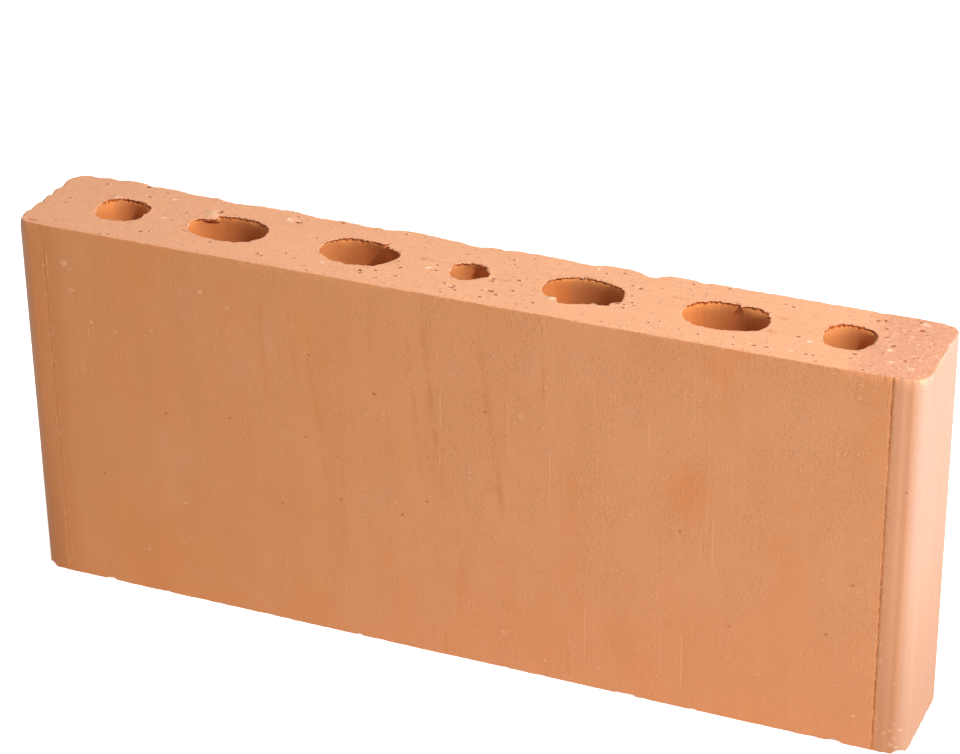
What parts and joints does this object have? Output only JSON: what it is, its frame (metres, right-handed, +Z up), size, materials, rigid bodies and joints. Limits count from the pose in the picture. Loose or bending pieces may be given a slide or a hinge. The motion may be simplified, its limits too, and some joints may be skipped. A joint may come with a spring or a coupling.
{
  "type": "perforated clay partition block",
  "caption": "Long thin fired-clay block for light inner walls, with rounded upright corners and a row of round and oval holes straight up through it.",
  "frame": {"origin": "middle of the lower cut face, on the surface that the block stands on", "axes": "+X along the block's length, -Y out of the front face with the two fine upright creases, +Z up along the holes"},
  "size_m": [0.49, 0.063, 0.21],
  "materials": {
    "fired_clay": "unglazed orange fired clay, matte, with light grit"
  },
  "bodies": {
    "root": {"clay_block": "fired_clay"}
  },
  "joints": []
}
